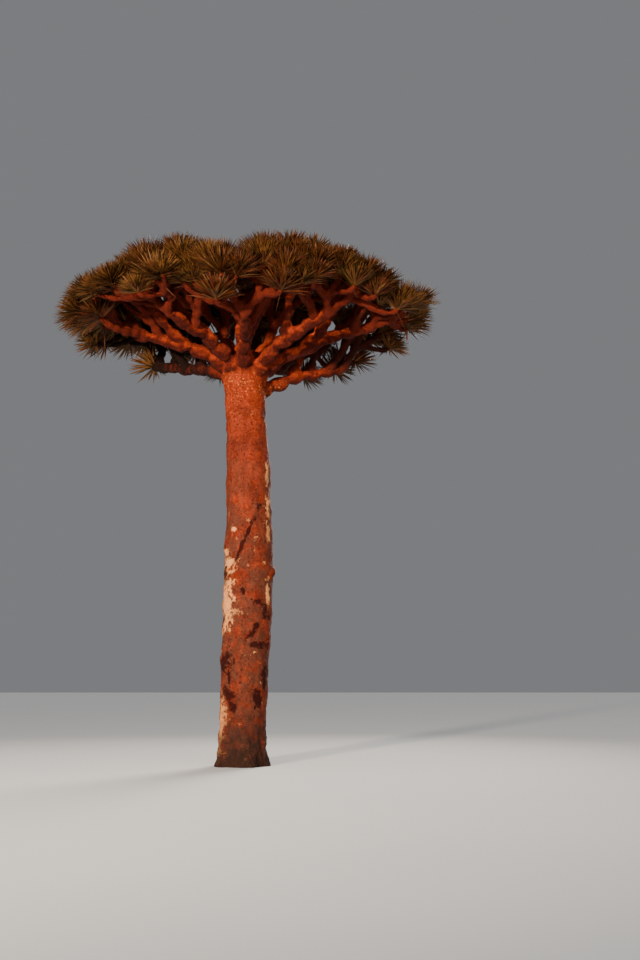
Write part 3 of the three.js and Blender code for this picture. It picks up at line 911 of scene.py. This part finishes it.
# The underside of a limb, where its surface faces down, gets painted shade. Below the crown it has to face
# down more
UNDERSIDE_SHADE_FACING = (0.06, -0.55)
BELOW_CROWN_LIFT = 0.3
# Where a limb faces up enough to take the painted sunlight
PAINTED_SUNLIGHT_FACING = (0.6, 0.1)
# How much painted shade darkens the rear left limbs, and the far rear of the inner crown
LEFT_REAR_SHADE_SHARE = 0.97
FAR_REAR_SHADE_SHARE = 0.75

# Marks of the trunk: long streaks, ragged edges of lichen and scars, and a brown foot with an uneven top
STREAK_STRETCH = (1, 1, 0.14)
RAGGED = (12, 6, 0.7)
RAGGED_SIZE = 6.0
OVAL_EDGE = (1.3, 0.75)
SPOT_SHARE = 0.7
WEEPING_SHARE = 0.8
FOOT_NOISE = (6, 5, 0.6)
FOOT_UNEVEN = 1.2
FOOT_TOP = (1.3, 0.75)
SCAR_DEPTH = 0.8
LICHEN_RISE = 0.3
BUMP_STRENGTH = 0.85
BUMP_DISTANCE = 0.018

# Dark weeping scars on the trunk's front: x, z, half width, half height, lean of the long axis
SCARS = (
    (0.058, 2.91, 0.022, 0.27, 0.43), (-0.235, 2.44, 0.035, 0.09, 0.0), (0.212, 2.06, 0.045, 0.03, 0.0),
    (0.305, 1.95, 0.035, 0.09, 0.0), (0.135, 1.64, 0.065, 0.05, 0.5), (0.235, 1.52, 0.1, 0.035, 0.0),
    (0.2, 1.76, 0.03, 0.05, 0.3), (-0.2, 1.3, 0.075, 0.1, 0.0), (-0.15, 1.12, 0.02, 0.12, 0.0),
    (-0.15, 0.88, 0.05, 0.1, -0.3), (-0.09, 0.73, 0.045, 0.05, 0.0), (0.3, 1.1, 0.03, 0.1, 0.0),
    (0.21, 0.83, 0.05, 0.08, 0.0), (-0.24, 1.85, 0.03, 0.04, 0.0), (0.02, 2.2, 0.02, 0.03, 0.0),
)

# Pale lichen on the trunk's front: x, z, half width, half height, lean of the long axis
LICHEN_PATCHES = (
    (-0.19, 2.53, 0.09, 0.09, 0.0), (-0.24, 2.7, 0.05, 0.05, 0.0), (-0.205, 2.06, 0.085, 0.28, 0.0),
    (-0.2, 1.9, 0.04, 0.16, 0.0), (-0.27, 1.68, 0.03, 0.06, 0.0), (-0.3, 0.85, 0.03, 0.18, 0.0),
    (-0.26, 0.55, 0.065, 0.26, 0.12), (-0.31, 0.2, 0.06, 0.18, 0.2), (-0.1, 2.99, 0.035, 0.025, 0.0),
    (0.31, 3.75, 0.02, 0.12, 0.0), (0.32, 3.3, 0.02, 0.14, 0.0), (0.33, 2.95, 0.02, 0.1, 0.0),
    (0.33, 2.15, 0.02, 0.16, 0.0),
)


def blotches(surface, ovals, ragged):
    """How far a place is inside any of the leaning ovals on the front, from 0 to 1."""
    x, z = surface.split(surface.place, "X"), surface.split(surface.place, "Z")
    marks = 0.0
    for centre_x, centre_z, wide, tall, lean in ovals:
        over = surface.math("SUBTRACT", z, centre_z)
        beside = surface.math("SUBTRACT", x, centre_x)
        across = surface.math("DIVIDE", surface.math("SUBTRACT", beside, surface.times(over, lean)), wide)
        along = surface.math("DIVIDE", over, tall)
        squares = surface.math("ADD", surface.times(across, across), surface.times(along, along))
        away = surface.math("ADD", surface.math("SQRT", squares), ragged)
        marks = surface.math("MAXIMUM", marks, surface.step(away, *OVAL_EDGE))
    return surface.times(marks, surface.band("front"))


def trunk_marks(bark, colour, height, painted_underside_shade):
    """The bark with the marks of the trunk, and painted sunlight on the tops of the right bough."""
    # Painted sunlight: the upper sides of the right bough, between its front and rear, are brighter orange
    sunlit_top = bark.step(painted_underside_shade, *PAINTED_SUNLIGHT_FACING)
    sunlit_zone = bark.times(bark.band("right"), bark.band("boughs"), bark.band("not_rear"), bark.band("not_front"))
    colour = bark.marked(colour, "painted_sunlight", sunlit_zone, sunlit_top)
    colour = bark.marked(colour, "worn", bark.patches("worn"), bark.band("worn"))
    drawn_out = bark.add("ShaderNodeVectorMath", operation="MULTIPLY", _0=bark.place, _1=STREAK_STRETCH)
    colour = bark.marked(colour, "streaks", bark.patches("streaks", drawn_out))
    colour = bark.marked(colour, "pits", bark.patches("pits"), bark.patches("pitted"))

    ragged = bark.times(bark.math("SUBTRACT", bark.noise(*RAGGED), 0.5), RAGGED_SIZE)
    spots = bark.times(bark.patches("spots"), bark.band("spots"), SPOT_SHARE)
    lichen = bark.math("MAXIMUM", blotches(bark, LICHEN_PATCHES, ragged), spots)
    colour = bark.marked(colour, "lichen", lichen)
    specks = bark.times(bark.patches("specks"), bark.band("specks_from"), bark.band("specks_up_to"))
    colour = bark.marked(colour, "specks", specks)

    uneven = bark.times(bark.noise(*FOOT_NOISE), FOOT_UNEVEN)
    foot = bark.step(bark.math("ADD", bark.split(bark.place, "Z"), uneven), *FOOT_TOP)
    colour = bark.marked(colour, "foot", foot)
    weeping = bark.times(bark.patches("weeping"), bark.band("weeping"), WEEPING_SHARE)
    scars = bark.math("MAXIMUM", blotches(bark, SCARS, ragged), weeping)
    colour = bark.marked(colour, "scars", scars)

    height = bark.math("SUBTRACT", height, bark.times(scars, SCAR_DEPTH))
    return colour, bark.math("ADD", height, bark.times(lichen, LICHEN_RISE))


def bark_surface(name, trunk):
    """Scaly terracotta bark, with painted shade under the limbs and at the rear. Twigs are a darker rust,
    partly their own browner bark and partly painted shade of the crown's inside.
    """
    bark = Surface(name, 0.86, 0.1)
    colour = bark.mix(bark.patches("terracotta"), DEEP_RUST, TERRACOTTA)
    grains = bark.noise(*PALE_GRAINS)
    colour = bark.marked(colour, "pale", bark.step(grains, *PALE_EDGE))
    colour = bark.marked(colour, "grain", bark.patches("grain"))

    stir = bark.noise(*STIR, output=1)
    stir = bark.add("ShaderNodeVectorMath", operation="SCALE", _0=stir, _3=STIR_SIZE)
    stirred = bark.add("ShaderNodeVectorMath", operation="ADD", _0=bark.place, _1=stir)
    scales = bark.add("ShaderNodeTexVoronoi", Vector=stirred, Scale=BARK_SCALES, feature="DISTANCE_TO_EDGE")
    cracks = bark.step(scales, *CRACK_EDGE)
    colour = bark.marked(colour, "cracks", cracks)
    hollows = bark.patches("hollows")
    colour = bark.marked(colour, "hollows", hollows)
    height = bark.math("SUBTRACT", grains, bark.times(cracks, CRACK_DEPTH))
    height = bark.math("SUBTRACT", height, bark.times(hollows, HOLLOW_DEPTH))

    # Painted shade on the undersides, where the surface faces down
    facing = bark.split(bark.add("ShaderNodeNewGeometry", "Normal"), "Z")
    facing = bark.math("ADD", facing, bark.times(bark.band("below_crown"), BELOW_CROWN_LIFT))
    painted_underside_shade = bark.step(facing, *UNDERSIDE_SHADE_FACING)
    colour = bark.marked(colour, "painted_underside_shade", painted_underside_shade)
    # Twigs darker: partly their own browner bark, partly painted shade of the crown's inside
    if not trunk:
        colour = bark.mix(TWIG_SHADE, colour, TWIG_RUST_AND_SHADE)
    # Painted shade: the limbs at the rear left, and at the far rear of the inner crown, are darkened nearly
    # to black
    painted_shade_left_rear = bark.times(bark.band("left"), bark.band("rear"), LEFT_REAR_SHADE_SHARE)
    far_rear = bark.times(bark.band("far_rear"), bark.band("inner_crown"), FAR_REAR_SHADE_SHARE)
    colour = bark.mix(bark.math("MAXIMUM", painted_shade_left_rear, far_rear), colour, PAINTED_SHADE_BLACK)
    if trunk:
        colour, height = trunk_marks(bark, colour, height, painted_underside_shade)
    bark.link(colour, "Base Color")
    bark.link(bark.bump(height, BUMP_STRENGTH, BUMP_DISTANCE), "Normal")
    return bark.material


# Leaves run from a dark to a light colour in patches, and have fine veins
LEAF_PATCHES = (7, 3, 0.6)
LEAF_PATCH_EDGE = (0.35, 0.65)
VEINS = (140, 2)
VEIN_STRENGTH = 0.25
VEIN_DEPTH = 0.002


def leaf_surface(name, dark, light):
    leaf = Surface(name, 0.55, 0.1)
    colour = leaf.mix(leaf.step(leaf.noise(*LEAF_PATCHES), *LEAF_PATCH_EDGE), dark, light)
    leaf.link(colour, "Base Color")
    leaf.link(leaf.bump(leaf.noise(*VEINS), VEIN_STRENGTH, VEIN_DEPTH), "Normal")
    return leaf.material


# Wood and twigs
WOOD_NODES = ["trunk"]
WOOD_NODES += ["bough_" + row[0] for row in LOWER_BOUGHS]
WOOD_NODES += ["riser_" + row[0] for row in LOWER_BOUGHS]
WOOD_NODES += ["upper_bough_" + row[0] for row in UPPER_BOUGHS]
MASS_NODES = [plan[0] for plan in plans]

wood_tubes = [trunk_tube()]
wood_tubes += [limb_tube(limb, BOUGH_JOINT, ROOT_FLARE) for limb in lower_limbs + upper_limbs]
wood_tubes += [limb_tube(limb, BOUGH_JOINT, FORK_FLARE) for limb in riser_limbs]
wood = grown_together("wood", wood_tubes, WOOD_VOXEL)
carve_bark(wood, *WOOD_RELIEF)
thin_out(wood, WOOD_TRIANGLES)
wood.data.materials.append(bark_surface("trunk_bark", True))

fine_limbs = stems + [twig for twig, _ in twigs]
twig_tubes = [limb_tube(limb, TWIG_JOINT, FORK_FLARE) for limb in fine_limbs]
branches = grown_together("twigs", twig_tubes, TWIG_VOXEL)
carve_bark(branches, *TWIG_RELIEF)
thin_out(branches, TWIG_TRIANGLES)
branches.data.materials.append(bark_surface("twig_bark", False))

# Colours of the leaves, dark and light. They are dealt out leaf by leaf, and one leads in each rosette
LEAF_COLOURS = {
    "leaves_olive": ((0.02, 0.0095, 0.0016, 1), (0.062, 0.0295, 0.0072, 1)),
    "leaves_brown": ((0.028, 0.009, 0.002, 1), (0.087, 0.03, 0.0092, 1)),
    "leaves_golden": ((0.053, 0.023, 0.0048, 1), (0.152, 0.065, 0.0172, 1)),
    "leaves_russet": ((0.032, 0.0085, 0.0025, 1), (0.102, 0.0268, 0.009, 1)),
}
DRY_COLOUR = ((0.03, 0.009, 0.003, 1), (0.08, 0.026, 0.01, 1))
LEADING_SHARE = 0.55

# How often golden leaves lead a rosette, by its x: mostly at the left and at the far right end, where the
# golden tone is painted sunlight on the lit sides of the crown
SUNLIT_GOLDEN_LEADS = ((-2.2, 0.8), (-0.8, 0.45), (-0.3, 0.15), (1.7, 0.05), (2.1, 0.85))

colour_names = list(LEAF_COLOURS)
golden = colour_names.index("leaves_golden")
others = [index for index in range(len(colour_names)) if index != golden]
dealt = {name: [] for name in colour_names}
dry = []
for place, size in rosettes:
    leading = golden if rng.random() < np.interp(place.x, *zip(*SUNLIT_GOLDEN_LEADS)) else rng.choice(others)
    for root, direction, spoke, length in rosette_leaves(place, size):
        droop = LEAF_DROOP * (1 - abs(direction.z)) * rng.uniform(*LEAF_DROOPS)
        colour = leading if rng.random() < LEADING_SHARE else rng.integers(len(colour_names))
        twist = rng.uniform(-LEAF_TWIST, LEAF_TWIST)
        dealt[colour_names[colour]].append((root, direction, spoke, length, droop, twist))
    axis = rosette_axis(place)
    for _ in range(rng.integers(MOST_DRY_LEAVES + 1)):
        spoke = Quaternion(axis, 2 * math.pi * rng.random()) @ axis.orthogonal().normalized()
        direction = (spoke - UP * rng.uniform(*DRY_HANGS)).normalized()
        length = size * LEAF_LENGTH * rng.uniform(*DRY_LENGTHS)
        droop = rng.uniform(*DRY_DROOPS)
        twist = rng.uniform(-DRY_TWIST, DRY_TWIST)
        dry.append((place - axis * DRY_INSET, direction, spoke, length, droop, twist))

leaf_pieces = []
for name in colour_names:
    leaf_pieces.append(leaf_piece(name, dealt[name], leaf_surface(name, *LEAF_COLOURS[name])))
leaf_pieces.append(leaf_piece("leaves_dry", dry, leaf_surface("leaves_dry", *DRY_COLOUR)))

pieces = [(wood, WOOD_NODES, "bark"), (branches, MASS_NODES, "bark")]
pieces += [(piece, MASS_NODES, "foliage") for piece in leaf_pieces]
for piece, nodes, slot in pieces:
    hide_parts(*nodes)
    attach(piece, "root")

# A pale floor under a pale sky
FLOOR_HALF = 90
FLOOR_TONES = ((0.68, 0.67, 0.65, 1), (0.72, 0.71, 0.69, 1))
SKY_COLOUR = (0.8, 0.82, 0.86, 1)
SKY_STRENGTH = 0.25

# Soft round lights: name, place, aim, size, watts, colour and width of the beam
LIGHTS = (
    ("key", (-7.6, -21.0, 5.0), (0, 0, 4.2), 1.4, 1380, (1, 0.83, 0.66), 60),
    ("fill", (8, -12, 3.5), (1.5, -0.6, 5.7), 4, 30, (1, 0.85, 0.7), 32),
    ("back", (5, 13, 9), (0, 0, 4.8), 7, 850, (1, 0.93, 0.85), 70),
)

# A broad light from high up keeps the floor pale as far as the horizon
OVERHEAD_STRENGTH = 1.1
OVERHEAD_WIDTH = 60
OVERHEAD_TILT = 25


def soft_light(name, place, aim, size, watts, colour, spread):
    light = bpy.data.lights.new(name, "AREA")
    light.shape = "DISK"
    light.size = size
    light.energy = watts
    light.color = colour
    light.spread = math.radians(spread)
    lamp = new_object(name, light)
    lamp.location = place
    lamp.rotation_mode = "QUATERNION"
    lamp.rotation_quaternion = (Vector(aim) - Vector(place)).to_track_quat("-Z", "Y")


floor_mesh = bpy.data.meshes.new("floor")
sides = ((-1, -1), (1, -1), (1, 1), (-1, 1))
floor_mesh.from_pydata([(x * FLOOR_HALF, y * FLOOR_HALF, 0) for x, y in sides], [], [(0, 1, 2, 3)])
floor = new_object("floor", floor_mesh)
pale = Surface("pale_floor", 0.95, 0.1)
pale.link(pale.mix(pale.noise(0.4, 2), *FLOOR_TONES), "Base Color")
floor.data.materials.append(pale.material)

world = bpy.data.worlds.new("pale_sky")
world.use_nodes = True
sky = world.node_tree.nodes["Background"]
sky.inputs["Color"].default_value = SKY_COLOUR
sky.inputs["Strength"].default_value = SKY_STRENGTH
bpy.context.scene.world = world

for light in LIGHTS:
    soft_light(*light)
overhead = bpy.data.lights.new("overhead", "SUN")
overhead.energy = OVERHEAD_STRENGTH
overhead.angle = math.radians(OVERHEAD_WIDTH)
lamp = new_object("overhead", overhead)
lamp.rotation_euler = (math.radians(OVERHEAD_TILT), 0, 0)

camera_data = bpy.data.cameras.new("camera")
camera_data.lens = CAMERA_LENS
camera = new_object("camera", camera_data)
camera.location = CAMERA_PLACE
camera.rotation_euler = (math.radians(90 + CAMERA_RISE), 0, 0)
bpy.context.scene.camera = camera
